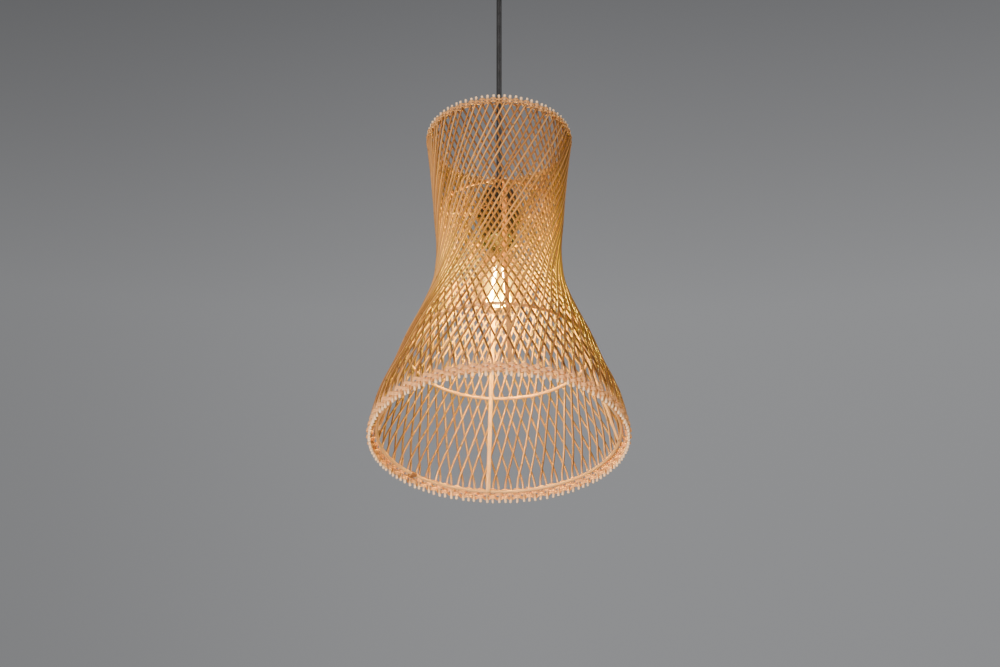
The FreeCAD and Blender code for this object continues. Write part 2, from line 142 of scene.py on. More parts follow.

# Bamboo and cane: "fibre" is a point on the strand's own cylinder, "tint" one number per strand, "knuckle"
# is 1 at a growth ring, "tip" is 1 at a cut end, the fourth mark is painted shade, 1 where the other layer of
# rods shades the strand and on its flanks, and the last mark is a painted glow, how much of the bulb's light
# shines through.
strandMarks = ("tint", "knuckle", "tip", "pressed", "warmth")
caneGrain = {  # stretch round, round and along the strand, then scale, detail and roughness of the noise
    "streak": ((3.2, 3.2, 0.45), (1.6, 4.0, 0.6)),
    "fleck": ((7.0, 7.0, 0.9), (2.2, 3.0, 0.65)),
    "patch": ((0.5, 0.5, 0.22), (1.0, 2.0)),
}
caneMix = {
    "streak": 0.45, "patch": 0.35, "lift": 0.1, "fleckEdges": (0.60, 0.78), "cut": 0.9, "glowLift": 0.4,
    "gloss": 0.25, "bumpStreak": 0.6, "bumpFleck": 0.25, "bumpKnuckle": 0.6, "bump": 0.7, "shine": 0.45,
}


def caneFinish(name, look):
    material, start = newFinish(name)
    fibre = start.add("Attribute", {"attribute_name": "fibre"}, {}, 1)
    tint, knuckle, tip, pressed, warmth = (
        start.add("Attribute", {"attribute_name": mark}, {}, 2) for mark in strandMarks)
    streak, fleck, patch = (fibre.stretch(*stretch).noise(*noise) for stretch, noise in caneGrain.values())
    tone = (streak * caneMix["streak"] + patch * caneMix["patch"] + tint * look["tintShare"]
            - look["tintShare"] / 2)
    dark = opaque(look["dark"])
    skin = start.add("ValToRGB", {"stops": look["stops"]}, {"Fac": tone + caneMix["lift"]})
    speckled = (fleck.within(*caneMix["fleckEdges"]) * look["flecks"]).mix(skin, dark)
    ringed = (knuckle * look["knuckle"]).mix(speckled, dark)
    # painted shade from the other layer and on the flanks, mixed towards the dark colour
    shadedTone = (pressed * look["paintedShadeStrength"]).mix(ringed, dark)
    cut = (tip * caneMix["cut"]).mix(shadedTone, opaque(look["cut"]))
    # painted glow: the bulb's light shining through the cane, painted as emission
    glow = warmth * (streak + caneMix["glowLift"])
    relief = streak * caneMix["bumpStreak"] + fleck * caneMix["bumpFleck"] + knuckle * caneMix["bumpKnuckle"]
    closeFinish(start, {
        "Base Color": cut,
        "Emission Color": glow.mix(opaque((0.0, 0.0, 0.0)), opaque(look["glow"])),
        "Emission Strength": bulbLook["caneGlow"],
        "Roughness": streak * caneMix["gloss"] + look["roughness"],
        "Normal": relief.bump(look["relief"], caneMix["bump"]),
        "Specular IOR Level": caneMix["shine"],
    })
    return material


rodLook = {
    "stops": [(0.18, (0.24, 0.084, 0.020)), (0.42, (0.50, 0.205, 0.052)),
              (0.62, (0.72, 0.335, 0.098)), (0.85, (0.86, 0.46, 0.165))],
    "dark": (0.060, 0.018, 0.004), "cut": (0.90, 0.52, 0.28), "paintedShadeStrength": 0.86, "glow": (1.0, 0.60, 0.02),
    "tintShare": 0.36, "flecks": 0.38, "knuckle": 0.7, "roughness": 0.42, "relief": 0.10 * mm,
}
bandLook = dict(rodLook, tintShare=0.2, flecks=0.26, roughness=0.48, stops=[
    (0.18, (0.52, 0.20, 0.060)), (0.42, (0.74, 0.33, 0.110)),
    (0.62, (0.88, 0.43, 0.165)), (0.85, (0.96, 0.53, 0.235))])
# The top rim's cane is a darker copy of the bottom rim's: painted shade, as less light reaches the top rim
topBandLook = dict(bandLook, stops=[
    (0.18, (0.24, 0.088, 0.022)), (0.42, (0.45, 0.20, 0.060)),
    (0.62, (0.62, 0.305, 0.105)), (0.85, (0.72, 0.385, 0.155))])
stakeLook = dict(rodLook, cut=(0.96, 0.68, 0.43), stops=[
    (0.18, (0.40, 0.175, 0.055)), (0.42, (0.60, 0.29, 0.10)),
    (0.62, (0.74, 0.40, 0.16)), (0.85, (0.84, 0.50, 0.235))])
hoopLook = dict(rodLook, tintShare=0.1, flecks=0.22, roughness=0.38, stops=[
    (0.18, (0.48, 0.205, 0.060)), (0.42, (0.68, 0.335, 0.115)),
    (0.62, (0.82, 0.44, 0.17)), (0.85, (0.92, 0.55, 0.24))])
bindingLook = dict(rodLook, stops=[
    (0.18, (0.14, 0.050, 0.015)), (0.42, (0.32, 0.125, 0.036)),
    (0.62, (0.48, 0.215, 0.068)), (0.85, (0.62, 0.31, 0.11))])

rodFinish = caneFinish("bambooRod", rodLook)
bandFinish = caneFinish("rimCane", bandLook)
topBandFinish = caneFinish("topRimCane", topBandLook)
stakeFinish = caneFinish("paleStake", stakeLook)
hoopFinish = caneFinish("rattanHoop", hoopLook)
bindingFinish = caneFinish("caneBinding", bindingLook)


# Metal, plastic and rubber parts: a cloudy colour between two close ones, over a fine grain
def hardFinish(name, look):
    material, start = newFinish(name)
    place = start.add("TexCoord", {}, {}, 3)
    grain = place.noise(look["grainScale"], 3.0)
    cloud = place.noise(look["cloudScale"], 2.0)
    colour = cloud.within(0.35, 0.65).mix(opaque(look["low"]), opaque(look["high"]))
    closeFinish(start, {
        "Base Color": colour,
        "Metallic": look["metal"],
        "Roughness": grain * look["roughSpread"] + look["roughness"],
        "Normal": grain.bump(look["relief"], look["bumpStrength"]),
        "Coat Weight": look["coat"],
    })
    return material


def hardLook(low, high, roughness, metal=0.0, coat=0.0, grainScale=900.0, cloudScale=40.0, relief=0.05 * mm,
             roughSpread=0.2, bumpStrength=0.4):
    return {
        "low": low, "high": high, "roughness": roughness, "roughSpread": roughSpread, "metal": metal,
        "coat": coat, "grainScale": grainScale, "cloudScale": cloudScale, "relief": relief,
        "bumpStrength": bumpStrength,
    }


blackPowder = hardFinish(
    "blackPowderCoat", hardLook((0.016, 0.016, 0.017), (0.024, 0.024, 0.026), 0.38, grainScale=1400.0))
blackPlastic = hardFinish("blackPlastic", hardLook((0.012, 0.012, 0.012), (0.018, 0.018, 0.019), 0.30))
blackRubber = hardFinish("blackRubber", hardLook((0.014, 0.014, 0.014), (0.022, 0.022, 0.022), 0.62))
flexSheath = hardFinish("flexSheath", hardLook((0.018, 0.018, 0.019), (0.028, 0.028, 0.030), 0.26, coat=0.5))
screwBlack = hardFinish("blackenedSteel", hardLook((0.03, 0.03, 0.032), (0.05, 0.05, 0.052), 0.35, metal=0.8))
zincSteel = hardFinish(
    "zincSteel", hardLook((0.50, 0.50, 0.48), (0.62, 0.62, 0.60), 0.32, metal=1.0, cloudScale=120.0))
nickelPlate = hardFinish("nickelPlate", hardLook((0.62, 0.59, 0.54), (0.70, 0.67, 0.62), 0.18, metal=1.0))
brassMetal = hardFinish("brass", hardLook((0.62, 0.42, 0.15), (0.74, 0.53, 0.22), 0.25, metal=1.0))
whitePlastic = hardFinish("whitePlastic", hardLook((0.74, 0.74, 0.70), (0.80, 0.80, 0.77), 0.42))
whiteCeramic = hardFinish("whiteCeramic", hardLook((0.80, 0.79, 0.74), (0.86, 0.85, 0.81), 0.22, coat=0.4))
liveSleeve = hardFinish("brownSleeve", hardLook((0.16, 0.06, 0.025), (0.21, 0.085, 0.035), 0.35))
neutralSleeve = hardFinish("blueSleeve", hardLook((0.02, 0.07, 0.32), (0.03, 0.10, 0.40), 0.35))
framePaint = hardFinish(
    "sandPaint", hardLook((0.30, 0.17, 0.075), (0.38, 0.225, 0.105), 0.55, grainScale=1200.0))


# Clear glass that shines at its rim, with a painted warm bloom of the filaments in its middle
def glassFinish(name, look):
    material, start = newFinish(name)
    edge = start.add("LayerWeight", {}, {"Blend": 0.25}, 1)
    clear = start.add("BsdfTransparent", {}, {"Color": opaque(look["glassTint"])})
    white = opaque((1.0, 1.0, 1.0))
    gloss = start.add("BsdfGlossy", {}, {"Roughness": look["glossRoughness"], "Color": white})
    glassy = start.add("MixShader", {}, {0: edge * look["rimGloss"] + look["faceGloss"], 1: clear, 2: gloss})
    glow = start.add("Emission", {}, {"Color": opaque(look["haze"]), "Strength": look["hazeGlow"]})
    facing = 1 - start.add("LayerWeight", {}, {"Blend": 0.5}, 1)
    place = start.add("TexCoord", {}, {}, 3)
    height = start.add("SeparateXYZ", {}, {"Vector": place}, 2)
    reach = (height - float(bulbMiddle[2])) * (1 / look["hazeReach"])
    # painted bloom: emission on the glass, strongest where it faces the viewer near the filaments' height
    haze = (1 - reach * reach).within(0.0, 1.0) * facing ** look["hazeFade"]
    surface = start.add("MixShader", {}, {0: haze * look["hazeShare"], 1: glassy, 2: glow})
    start.add("OutputMaterial", {}, {"Surface": surface})
    return material


def glowFinish(name, colour, strength):
    material, start = newFinish(name)
    place = start.add("TexCoord", {}, {}, 3)
    mottle = place.noise(900.0, 2.0)
    lighter = [min(1.0, part * 1.15) for part in colour]
    closeFinish(start, {
        "Base Color": (0.9, 0.7, 0.35, 1.0),
        "Roughness": 0.5,
        "Emission Color": mottle.within(0.3, 0.7).mix(opaque(colour), opaque(lighter)),
        "Emission Strength": strength,
    })
    return material


bulbGlass = glassFinish("clearBulbGlass", bulbLook)
litFilament = glowFinish("litFilament", bulbLook["filament"], bulbLook["filamentGlow"])
print("finishes made")

# CAD nodes that stay, by finish
nodeFinish = [
    (zincSteel, ["ceiling_bracket"]),
    (blackPowder, ["ceiling_cup"]),
    (screwBlack, ["cup_screws", "grip_screw", "nipple_screw"]),
    (whitePlastic, ["terminal_block"]),
    (whiteCeramic, ["holder_core"]),
    (brassMetal, ["terminal_screws", "core_screws", "centre_contact", "side_contact", "bulb_contact"]),
    (liveSleeve, ["live_lead", "holder_live_lead"]),
    (neutralSleeve, ["neutral_lead", "holder_neutral_lead"]),
    (flexSheath, ["cord_tail"]),
    (blackPlastic, ["cord_grip", "grip_locknut", "holder_nipple", "holder_cap", "holder_body",
                    "retaining_ring", "bulb_insulator"]),
    (blackRubber, ["grip_bush", "ring_washer"]),
    (nickelPlate, ["socket_shell", "bulb_cap", "filament_wires"]),
    (bulbGlass, ["bulb_glass", "bulb_stem"]),
    (litFilament, ["bulb_filaments"]),
    (framePaint, ["shade_collar", "collar_spokes"]),
]
for finish, names in nodeFinish:
    for name in names:
        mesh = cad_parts[name].data
        mesh.materials.clear()
        mesh.materials.append(finish)
print("finishes put on the fittings, the holder and the bulb")


# Every rod, stake, hoop and strip of cane is swept along a path, into one mesh per piece.
class Strands:
    def __init__(self):
        self.corners, self.faces, self.fibre = [], [], []
        self.marks = {mark: [] for mark in strandMarks}
        self.count = 0

    # path and outward are rows of x, y, z; half is each row's half width outward and sideways
    def sweep(self, path, outward, half, sides=8, tint=0.5, closed=False, squareness=1.0, knuckle=0.0,
              tip=0.0, pressed=0.0):
        path, outward = np.asarray(path, float), np.asarray(outward, float)
        rows = len(path)
        half = np.broadcast_to(np.asarray(half, float), (rows, 2))
        if closed:
            tangent = np.roll(path, -1, 0) - np.roll(path, 1, 0)
        else:
            tangent = np.gradient(path, axis=0)
        tangent /= np.linalg.norm(tangent, axis=1)[:, None]
        face = outward - (outward * tangent).sum(1)[:, None] * tangent
        face /= np.linalg.norm(face, axis=1)[:, None]
        side = np.cross(tangent, face)
        turn = np.arange(sides) * 2 * math.pi / sides
        across = np.sign(np.cos(turn)) * np.abs(np.cos(turn)) ** squareness
        aside = np.sign(np.sin(turn)) * np.abs(np.sin(turn)) ** squareness
        corners = (path[:, None, :] + face[:, None, :] * (half[:, 0, None] * across)[..., None]
                   + side[:, None, :] * (half[:, 1, None] * aside)[..., None]).reshape(-1, 3)
        self.corners.append(corners)
        self.addFibre(path, across, aside)
        for mark, value in {"tint": tint, "knuckle": knuckle, "tip": tip}.items():
            self.marks[mark].append(np.repeat(value + np.zeros(rows), sides))
        self.marks["pressed"].append(np.tile(paintedShadeSides(across, aside, pressed), rows))
        self.marks["warmth"].append(paintedBulbGlow(corners, across))
        self.addFaces(rows, sides, closed)

    def addFibre(self, path, across, aside):
        step = np.linalg.norm(np.diff(path, axis=0), axis=1)
        length = np.concatenate([[0.0], np.cumsum(step)])
        start = chance.uniform(0, 60, 3)
        fibre = np.zeros((len(path), len(across), 3))
        fibre[..., 0] = across + start[0]
        fibre[..., 1] = aside + start[1]
        fibre[..., 2] = (length / (10 * mm))[:, None] + start[2]
        self.fibre.append(fibre.reshape(-1, 3))

    def addFaces(self, rows, sides, closed):
        first = self.count
        for i in range(rows if closed else rows - 1):
            here, there = first + i * sides, first + ((i + 1) % rows) * sides
            for k in range(sides):
                after = (k + 1) % sides
                self.faces.append((here + k, there + k, there + after, here + after))
        if not closed:
            self.faces.append(tuple(first + k for k in range(sides)))
            self.faces.append(tuple(first + (rows - 1) * sides + k for k in reversed(range(sides))))
        self.count += rows * sides

    def make(self, name, finish, body, slot, *nodes):
        mesh = bpy.data.meshes.new(name)
        mesh.from_pydata(np.concatenate(self.corners).tolist(), [], self.faces)
        mesh.attributes.new("fibre", "FLOAT_VECTOR", "POINT").data.foreach_set("vector", flat(self.fibre))
        for mark, values in self.marks.items():
            mesh.attributes.new(mark, "FLOAT", "POINT").data.foreach_set("value", flat(values))
        mesh.materials.append(finish)
        mesh.shade_smooth()
        piece = bpy.data.objects.new(name, mesh)
        bpy.context.collection.objects.link(piece)
        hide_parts(*nodes)
        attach(piece, body)
        print("made", name, len(mesh.polygons), "faces")


def flat(lists):
    return np.concatenate(lists).astype(np.float32).ravel()


# painted shade on the side the other layer shades (outer side, inner below 0), and on the flanks
paintedShadeFade = {"cover": 0.5, "flank": 1.8, "flankShare": 0.95}


def paintedShadeSides(across, aside, pressed):
    covered = np.clip(across * np.sign(pressed), 0, 1) ** paintedShadeFade["cover"] * abs(pressed)
    flanks = np.abs(aside) ** paintedShadeFade["flank"] * (paintedShadeFade["flankShare"] if pressed else 0.0)
    return np.maximum(covered, flanks)


# Painted glow of the bulb's light shining through the cane, as emission on the strand
def paintedBulbGlow(corners, across):  # strongest on the inner side, and less away from the bulb
    away = np.linalg.norm(corners - bulbMiddle, axis=1)
    near = np.clip(bulbLook["caneGlowReach"] / away, 0, 1) ** bulbLook["caneGlowFade"]
    inward = bulbLook["caneGlowMiddle"] - bulbLook["caneGlowInward"] * across
    return near * np.tile(np.clip(inward, bulbLook["caneGlowLeast"], 1), len(corners) // len(across))


# A smooth line through (place, value) pairs, read at any places
def smoothLine(pairs, places):
    knots, values = (np.array(column, float) for column in zip(*pairs))
    slopes = np.gradient(values, knots)
    places = np.clip(places, knots[0], knots[-1])
    index = np.clip(np.searchsorted(knots, places) - 1, 0, len(knots) - 2)
    span = knots[index + 1] - knots[index]
    share = (places - knots[index]) / span
    square, cube = share ** 2, share ** 3
    return (values[index] * (2 * cube - 3 * square + 1) + slopes[index] * span * (cube - 2 * square + share)
            + values[index + 1] * (3 * square - 2 * cube) + slopes[index + 1] * span * (cube - square))


def onTurn(angle, radius, z):
    return np.stack([np.cos(angle) * radius, np.sin(angle) * radius, z + np.zeros_like(angle)], -1)


def hoopOf(node):  # radius, height and wire radius of a CAD hoop
    low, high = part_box(node)
    wire = (high.z - low.z) / 2
    return (high.x - low.x) / 2 - wire, (high.z + low.z) / 2, wire


# The shade: heights from the bottom rim and radii in millimetres, turn rate in degrees for each millimetre
shade = {
    "outline": [(-8.0, 151.0), (4.0, 148.5), (40.0, 140.2), (80.0, 124.0), (120.0, 109.3), (160.0, 92.0),
                (200.0, 78.3), (240.0, 73.7), (300.0, 77.0), (360.0, 82.1), (405.0, 87.0), (416.0, 88.2)],
    "hoopHeight": 4.0,
    "rodsPerLayer": 64, "rodRadius": 1.32, "radiusSpread": (0.91, 1.05),
    "firstHeight": 4.2, "lastHeight": 404.8, "rows": 74,
    "thickness": [(0, 0.93), (60, 0.94), (150, 0.96), (230, 0.98), (300, 0.98), (410, 0.96)],
    "layerDepths": (1.1, 3.4),
    # painted shade where the layers shade each other: outer rods on their inner side, inner rods outside
    "paintedShadeInside": -0.55, "paintedShadeOutside": 0.9,  # outer rods are dark on their inner side, inner rods outside
    "turnRate": [(0, 0.0), (5, 0.0), (28, 0.121), (40, 0.128), (60, 0.141), (80, 0.156), (97, 0.171),
                 (115, 0.19), (145, 0.21), (160, 0.27), (175, 0.31), (200, 0.345), (220, 0.40), (280, 0.40),
                 (300, 0.38), (325, 0.36), (350, 0.345), (370, 0.32), (390, 0.30), (410, 0.29)],
    "wander": [(0, 0.0), (60, 0.32), (150, 0.62), (240, 0.95), (330, 1.35), (410, 1.5)],  # degrees sideways
    "wanderSpread": 0.62, "wanderMost": 1.2, "bow": 0.10,  # the bow is in and out
    "firstRing": (10, 150), "ringGap": (95, 190), "lastGap": 8, "ringWidth": 1.1, "ringSwell": 0.08,
    "ringRows": (-3.0, -1.6, -0.7, 0.0, 0.7, 1.6, 3.0),
    "buttHeight": 20.0, "buttPale": 0.75, "buttFade": 0.6,
}
rimPlane = hoopOf("bottom_hoop")[1] - shade["hoopHeight"] * mm


def outerRadius(height):
    return smoothLine(shade["outline"], height)


def turnTo(height):  # degrees that a rod has turned by a height
    fine = np.arange(0.0, 411.0, 1.0)
    rate = smoothLine(shade["turnRate"], fine)
    return np.interp(height, fine, np.concatenate([[0.0], np.cumsum((rate[1:] + rate[:-1]) / 2)]))


def knuckles(heights, low, high):  # growth rings at uneven distances, and the heights needed to show them
    places = []
    here = low + chance.uniform(*shade["firstRing"])
    while here < high - shade["lastGap"]:
        places.append(here)
        here += chance.uniform(*shade["ringGap"])
    extra = [place + offset for place in places for offset in shade["ringRows"]]
    heights = np.unique(np.concatenate([heights, extra]))
    rings = (np.exp(-((heights - place) / shade["ringWidth"]) ** 2) for place in places)
    return heights, sum(rings, np.zeros(len(heights)))


def weaveRods(name, depth, way, startAngle, pressed, node):
    strands = Strands()
    count = shade["rodsPerLayer"]
    low, high = shade["firstHeight"], shade["lastHeight"]
    base = np.linspace(low, high, shade["rows"])
    knots, sizes = (np.array(column) for column in zip(*shade["wander"]))
    for k in range(count):
        heights, swell = knuckles(base, low, high)
        stray = chance.normal(0, shade["wanderSpread"], len(knots))
        stray = stray.clip(-shade["wanderMost"], shade["wanderMost"]) * sizes
        drift = smoothLine(zip(knots, stray), heights)
        angle = np.radians(startAngle + 360.0 / count * k + way * turnTo(heights) + drift)
        bow = smoothLine(zip(knots, chance.normal(0, shade["bow"], len(knots))), heights)
        path = onTurn(angle, (outerRadius(heights) - depth + bow) * mm, rimPlane + heights * mm)
        butt = np.clip(1 - heights / shade["buttHeight"], 0, 1) ** shade["buttFade"]
        thick = shade["rodRadius"] * chance.uniform(*shade["radiusSpread"])
        thick = thick * (1 + shade["ringSwell"] * swell) * mm * smoothLine(shade["thickness"], heights)
        strands.sweep(path, onTurn(angle, 1.0, 0.0), np.stack([thick, thick], 1), tint=chance.uniform(0, 1),
                      knuckle=swell, tip=shade["buttPale"] * butt, pressed=pressed)
    strands.make(name, rodFinish, "lamp", "bamboo_rod", node)


halfPitch = 180.0 / shade["rodsPerLayer"]
weaveRods("outer_rods", shade["layerDepths"][0], 1, 0.0, shade["paintedShadeInside"], "outer_weave")
weaveRods("inner_rods", shade["layerDepths"][1], -1, halfPitch, shade["paintedShadeOutside"], "inner_weave")

# Rim stakes: short pale sticks, cut square, standing out of both rims; the bottom tips tuck in a little
stakes = {
    "bottomCount": 128, "bottomHeights": (-6.8, 3.8), "topCount": 80, "topHeights": (405.2, 414.3),
    "depth": 2.2, "radius": 1.5, "radiusSpread": (0.9, 1.05), "placeSpread": 0.25, "lengthSpread": 0.5,
    "leanSpread": 2.5, "tuck": 0.12, "paleFrom": 0.45, "paleSpan": 0.35,
    "shape": [(0.0, 0.72), (0.04, 0.92), (0.12, 1.0), (0.3, 1.0), (0.55, 1.0), (0.8, 1.0), (0.93, 1.0),
              (0.98, 0.92), (1.0, 0.72)],  # share of the length and of the radius
}


def rimStakes(name, count, heights, tipUp, node):
    strands = Strands()
    low, high = heights
    along, girth = (np.array(column) for column in zip(*stakes["shape"]))
    for k in range(count):
        angle = 2 * math.pi * k / count + math.radians(chance.normal(0, stakes["placeSpread"]))
        spread = chance.uniform(-1, 1) * stakes["lengthSpread"]
        foot, head = (low, high + spread) if tipUp else (low - spread, high)
        height = foot + (head - foot) * along
        lean = math.radians(chance.normal(0, stakes["leanSpread"]))
        sway = (height - (high + low) / 2) * math.tan(lean) / outerRadius(low)
        reach = outerRadius(np.maximum(height, 0)) + np.minimum(height, 0) * stakes["tuck"] - stakes["depth"]
        path = onTurn(angle + sway, reach * mm, rimPlane + height * mm)
        thick = stakes["radius"] * chance.uniform(*stakes["radiusSpread"]) * girth * mm
        share = along if tipUp else 1 - along
        pale = np.clip((share - stakes["paleFrom"]) / stakes["paleSpan"], 0, 1)
        strands.sweep(path, onTurn(np.full(len(along), angle), 1.0, 0.0), np.stack([thick, thick], 1), 10,
                      tint=chance.uniform(0.2, 1), tip=pale)
    strands.make(name, stakeFinish, "lamp", "bamboo_peg", node)


rimStakes("bottom_stakes", stakes["bottomCount"], stakes["bottomHeights"], False, "bottom_pegs")
rimStakes("top_stakes", stakes["topCount"], stakes["topHeights"], True, "top_pegs")

# Rim bands: thin canes laid round the rim, over one stake and under the next, flat inside and knobbly outside
bands = {
    "thickness": 1.1, "rowHeight": 2.2, "squareness": 0.7, "middle": 2.2, "wave": 2.2,
    "outerSharp": 1.1, "innerSharp": 0.4, "rowsPerStake": 8, "ripple": (0.15, 9, 0.1, 23),
    "bottomOuter": (-0.8, 1.2, 7.3, 9.3), "bottomInner": (3.2, 5.3),
    "topOuter": (403.6, 407.6), "topInner": (405.6, 409.4),
}


def rimBand(name, heights, stakeCount, way, finish, node):
    strands = Strands()
    for height in heights:
        angle = np.linspace(0, 2 * math.pi, stakeCount * bands["rowsPerStake"], endpoint=False)
        beat = way * np.cos(angle * stakeCount / 2)
        ripple = wobble(angle, *bands["ripple"])
        bulge = np.where(beat > 0, np.abs(beat) ** bands["outerSharp"], -np.abs(beat) ** bands["innerSharp"])
        radius = (outerRadius(height) - bands["middle"] + bands["wave"] * bulge) * mm
        path = onTurn(angle, radius, rimPlane + (height + ripple) * mm)
        half = np.array([bands["thickness"] / 2, bands["rowHeight"] / 2]) * mm
        strands.sweep(path, onTurn(angle, 1.0, 0.0), half, tint=chance.uniform(0.2, 0.8), closed=True,
                      squareness=bands["squareness"])
    strands.make(name, finish, "lamp", "bamboo_band", node)


def wobble(angle, first, firstWaves, second, secondWaves):
    slow = first * np.sin(angle * firstWaves + chance.uniform(0, 6))
    return slow + second * np.sin(angle * secondWaves + chance.uniform(0, 6))


bottomCount, topCount = stakes["bottomCount"], stakes["topCount"]
rimBand("bottom_outer_cane", bands["bottomOuter"], bottomCount, 1, bandFinish, "bottom_outer_band")
rimBand("bottom_inner_cane", bands["bottomInner"], bottomCount, -1, bandFinish, "bottom_inner_band")
rimBand("top_outer_cane", bands["topOuter"], topCount, 1, topBandFinish, "top_outer_band")
rimBand("top_inner_cane", bands["topInner"], topCount, -1, topBandFinish, "top_inner_band")


# Hoops of round rattan
hoops = {
    "rows": 300, "ripple": (0.10, 5, 0.07, 11), "thin": 0.02, "thinWaves": 7,
    "rings": 5, "ringDegrees": 0.5, "ringSwell": 0.06, "ringDark": 0.5,
}


def rattanHoop(name, finish, node):
    radius, z, wire = hoopOf(node)
    strands = Strands()
    angle = np.linspace(0, 2 * math.pi, hoops["rows"], endpoint=False)
    ripple = wobble(angle, *hoops["ripple"])
    rings = chance.uniform(10, 350, hoops["rings"])
    swell = sum(np.exp(-((np.degrees(angle) - place) / hoops["ringDegrees"]) ** 2) for place in rings)
    even = 1 - hoops["thin"] + hoops["thin"] * np.sin(angle * hoops["thinWaves"])
    thick = wire * even * (1 + hoops["ringSwell"] * swell)
    path = onTurn(angle, radius + ripple * mm, z)
    strands.sweep(path, onTurn(angle, 1.0, 0.0), np.stack([thick, thick], 1), 12, closed=True,
                  knuckle=swell * hoops["ringDark"])
    strands.make(name, finish, "lamp", "rattan_hoop", node)


rattanHoop("bottom_hoop_rattan", hoopFinish, "bottom_hoop")
rattanHoop("mid_hoop_rattan", hoopFinish, "mid_hoop")
# the neck hoop takes the darker binding cane, not the hoop cane: painted shade, to dim the hoop the bulb
# lights from close below
rattanHoop("neck_hoop_rattan", bindingFinish, "neck_hoop")

# Four flat ribs on the inside of the hoops
ribs = {
    "line": [(1.0, 136.0), (4.0, 135.1), (60.0, 118.1), (90.0, 109.1), (111.0, 102.7), (155.0, 85.2),
             (200.0, 71.4), (245.0, 66.7), (302.0, 67.4), (305.0, 67.6)],
    "firstHeight": 1.6, "lastHeight": 304.4, "halfSize": (1.2, 2.5), "turn": 5.4, "rows": 90,
    "squareness": 0.55, "endSize": 0.75, "endHeight": 1.5, "ringWidth": 3.0, "ringDark": 0.35,
}


def flatRib(name, degrees, node):
    strands = Strands()
    heights = np.linspace(ribs["firstHeight"], ribs["lastHeight"], ribs["rows"])
    angle = np.radians(degrees + ribs["turn"]) + np.zeros(len(heights))
    path = onTurn(angle, smoothLine(ribs["line"], heights) * mm, rimPlane + heights * mm)
    toEnd = np.minimum(heights - heights[0], heights[-1] - heights)
    fade = np.minimum(1.0, toEnd / ribs["endHeight"] + ribs["endSize"])
    half = np.array(ribs["halfSize"]) * fade[:, None] * mm
    swell = sum(np.exp(-((heights - place) / ribs["ringWidth"]) ** 2) for place in chance.uniform(40, 280, 2))
    strands.sweep(path, onTurn(angle, 1.0, 0.0), half, 12, tint=0.6, squareness=ribs["squareness"],
                  knuckle=swell * ribs["ringDark"])
    strands.make(name, hoopFinish, "lamp", "rattan_hoop", node)


for name, degrees in {"rib_right": 0, "rib_back": 90, "rib_left": 180, "rib_front": 270}.items():
    flatRib(name + "_cane", degrees, name)

# Binding over the bottom hoop's joint: cane turns round the wire, and three loops out to the rim band
tie = {
    "angle": 136.0, "span": 3.2, "turns": 7, "gap": 0.45, "rows": 200,
    "caneHalf": (0.42, 0.62), "squareness": 0.8,
    "loopAngles": (-0.6, 0.0, 0.6), "loopMiddle": 2.0, "loopHalf": (4.5, 2.7), "loopRows": 48,
}


def hoopTie():
    radius, z, wire = hoopOf("bottom_hoop")
    strands = Strands()
    share = np.linspace(0, 1, tie["rows"])
    around = share * tie["turns"] * 2 * math.pi
    angle = np.radians(tie["angle"] - tie["span"] / 2 + share * tie["span"])
    reach = wire + tie["gap"] * mm
    path = onTurn(angle, radius + reach * np.cos(around), z + reach * np.sin(around))
    outward = onTurn(angle, np.cos(around), np.sin(around))
    cane = np.array(tie["caneHalf"]) * mm
    strands.sweep(path, outward, cane, tint=0.3, squareness=tie["squareness"])
    long, tall = np.array(tie["loopHalf"]) * mm
    for offset in tie["loopAngles"]:
        loop = np.linspace(0, 2 * math.pi, tie["loopRows"], endpoint=False)
        spot = np.full(len(loop), math.radians(tie["angle"] + offset))
        path = onTurn(spot, radius + tie["loopMiddle"] * mm + long * np.cos(loop), z + tall * np.sin(loop))
        outward = onTurn(spot, np.cos(loop), np.sin(loop))
        strands.sweep(path, outward, cane, tint=0.1, closed=True, squareness=tie["squareness"])
    strands.make("hoop_binding", bindingFinish, "lamp", "cane_binding", "hoop_tie")


hoopTie()

# The flex: one straight run from the ceiling grip to the lamp holder
flex = {"top": -42.0, "foot": -355.0, "diameter": 6.5, "exit": -42.0}


def hangFlex():
    curve = bpy.data.curves.new("flex", "CURVE")
    curve.dimensions = "3D"
    curve.bevel_depth = flex["diameter"] / 2 * mm
    curve.bevel_resolution = 6
    curve.resolution_u = 12
    curve.use_fill_caps = True
    line = curve.splines.new("NURBS")
    points = [(0.0, 0.0, z * mm) for z in (flex["top"], (flex["top"] + flex["foot"]) / 2, flex["foot"])]
    line.points.add(len(points) - 1)
    for point, place in zip(line.points, points):
        point.co = (*place, 1.0)
    line.order_u = 3
    line.use_endpoint_u = True
    curve.materials.append(flexSheath)
    piece = bpy.data.objects.new("flex", curve)
    bpy.context.collection.objects.link(piece)
    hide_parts("flex_cord")
    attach(piece, "cord")


hangFlex()
print("flex made")

# Lights, floor and camera
stageLook = {
    "floorZ": -4.3, "floorHalf": 40.0, "floor": (0.52, 0.52, 0.52), "lighter": 1.06, "roughness": 0.8,
}


def layFloor():
    half, z = stageLook["floorHalf"], stageLook["floorZ"]
    mesh = bpy.data.meshes.new("floor")
    corners = [(-half, -half, z), (half, -half, z), (half, half, z), (-half, half, z)]
    mesh.from_pydata(corners, [], [(0, 1, 2, 3)])
    material, start = newFinish("paleFloor")
    place = start.add("TexCoord", {}, {}, 3)
    lighter = [part * stageLook["lighter"] for part in stageLook["floor"]]
    colour = place.noise(0.4, 2.0).mix(opaque(stageLook["floor"]), opaque(lighter))
    closeFinish(start, {"Base Color": colour, "Roughness": stageLook["roughness"]})
    mesh.materials.append(material)
    floor = bpy.data.objects.new("floor", mesh)
    bpy.context.collection.objects.link(floor)


